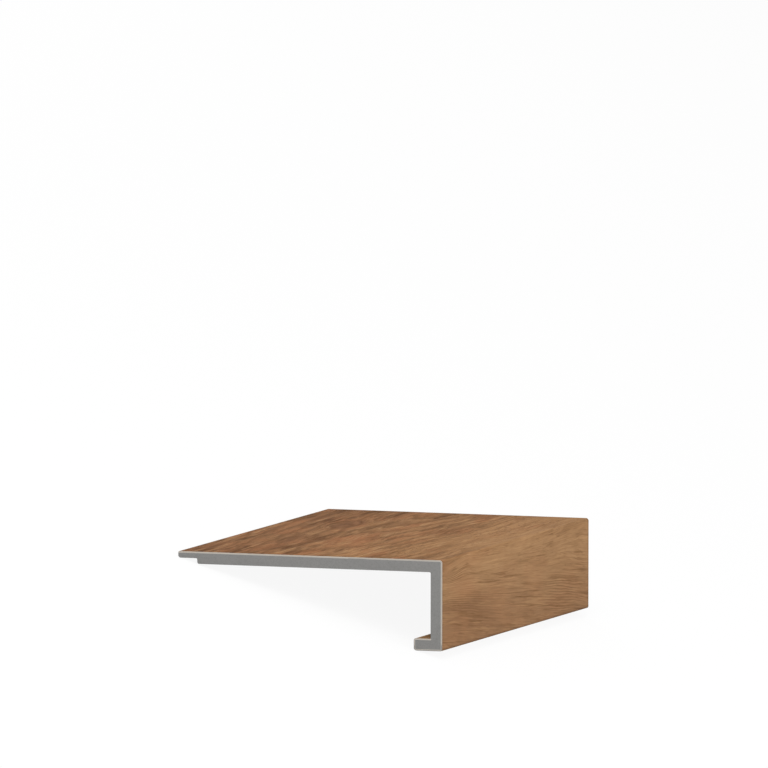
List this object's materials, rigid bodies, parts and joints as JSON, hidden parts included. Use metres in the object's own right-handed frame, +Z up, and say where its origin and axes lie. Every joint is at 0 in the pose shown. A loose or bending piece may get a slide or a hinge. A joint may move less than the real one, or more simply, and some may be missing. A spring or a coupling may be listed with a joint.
{
  "type": "landing stair nose",
  "caption": "Square landing nose with a flat plate, a turned-down front leg, an inward hook and a rebated back lip, in a wood-print film over a grey core.",
  "frame": {"origin": "on the floor under the middle of the bounding box, as the nose lies unheld on its hook and its lip", "axes": "+Y along the extrusion; +X towards the front face; +Z up. The plate slopes down from the nose towards -X."},
  "size_m": [0.1606, 0.25, 0.0518],
  "materials": {
    "core": "matte",
    "decor": "satin"
  },
  "bodies": {
    "root": {"core": "core", "decor_film": "decor"}
  },
  "joints": []
}
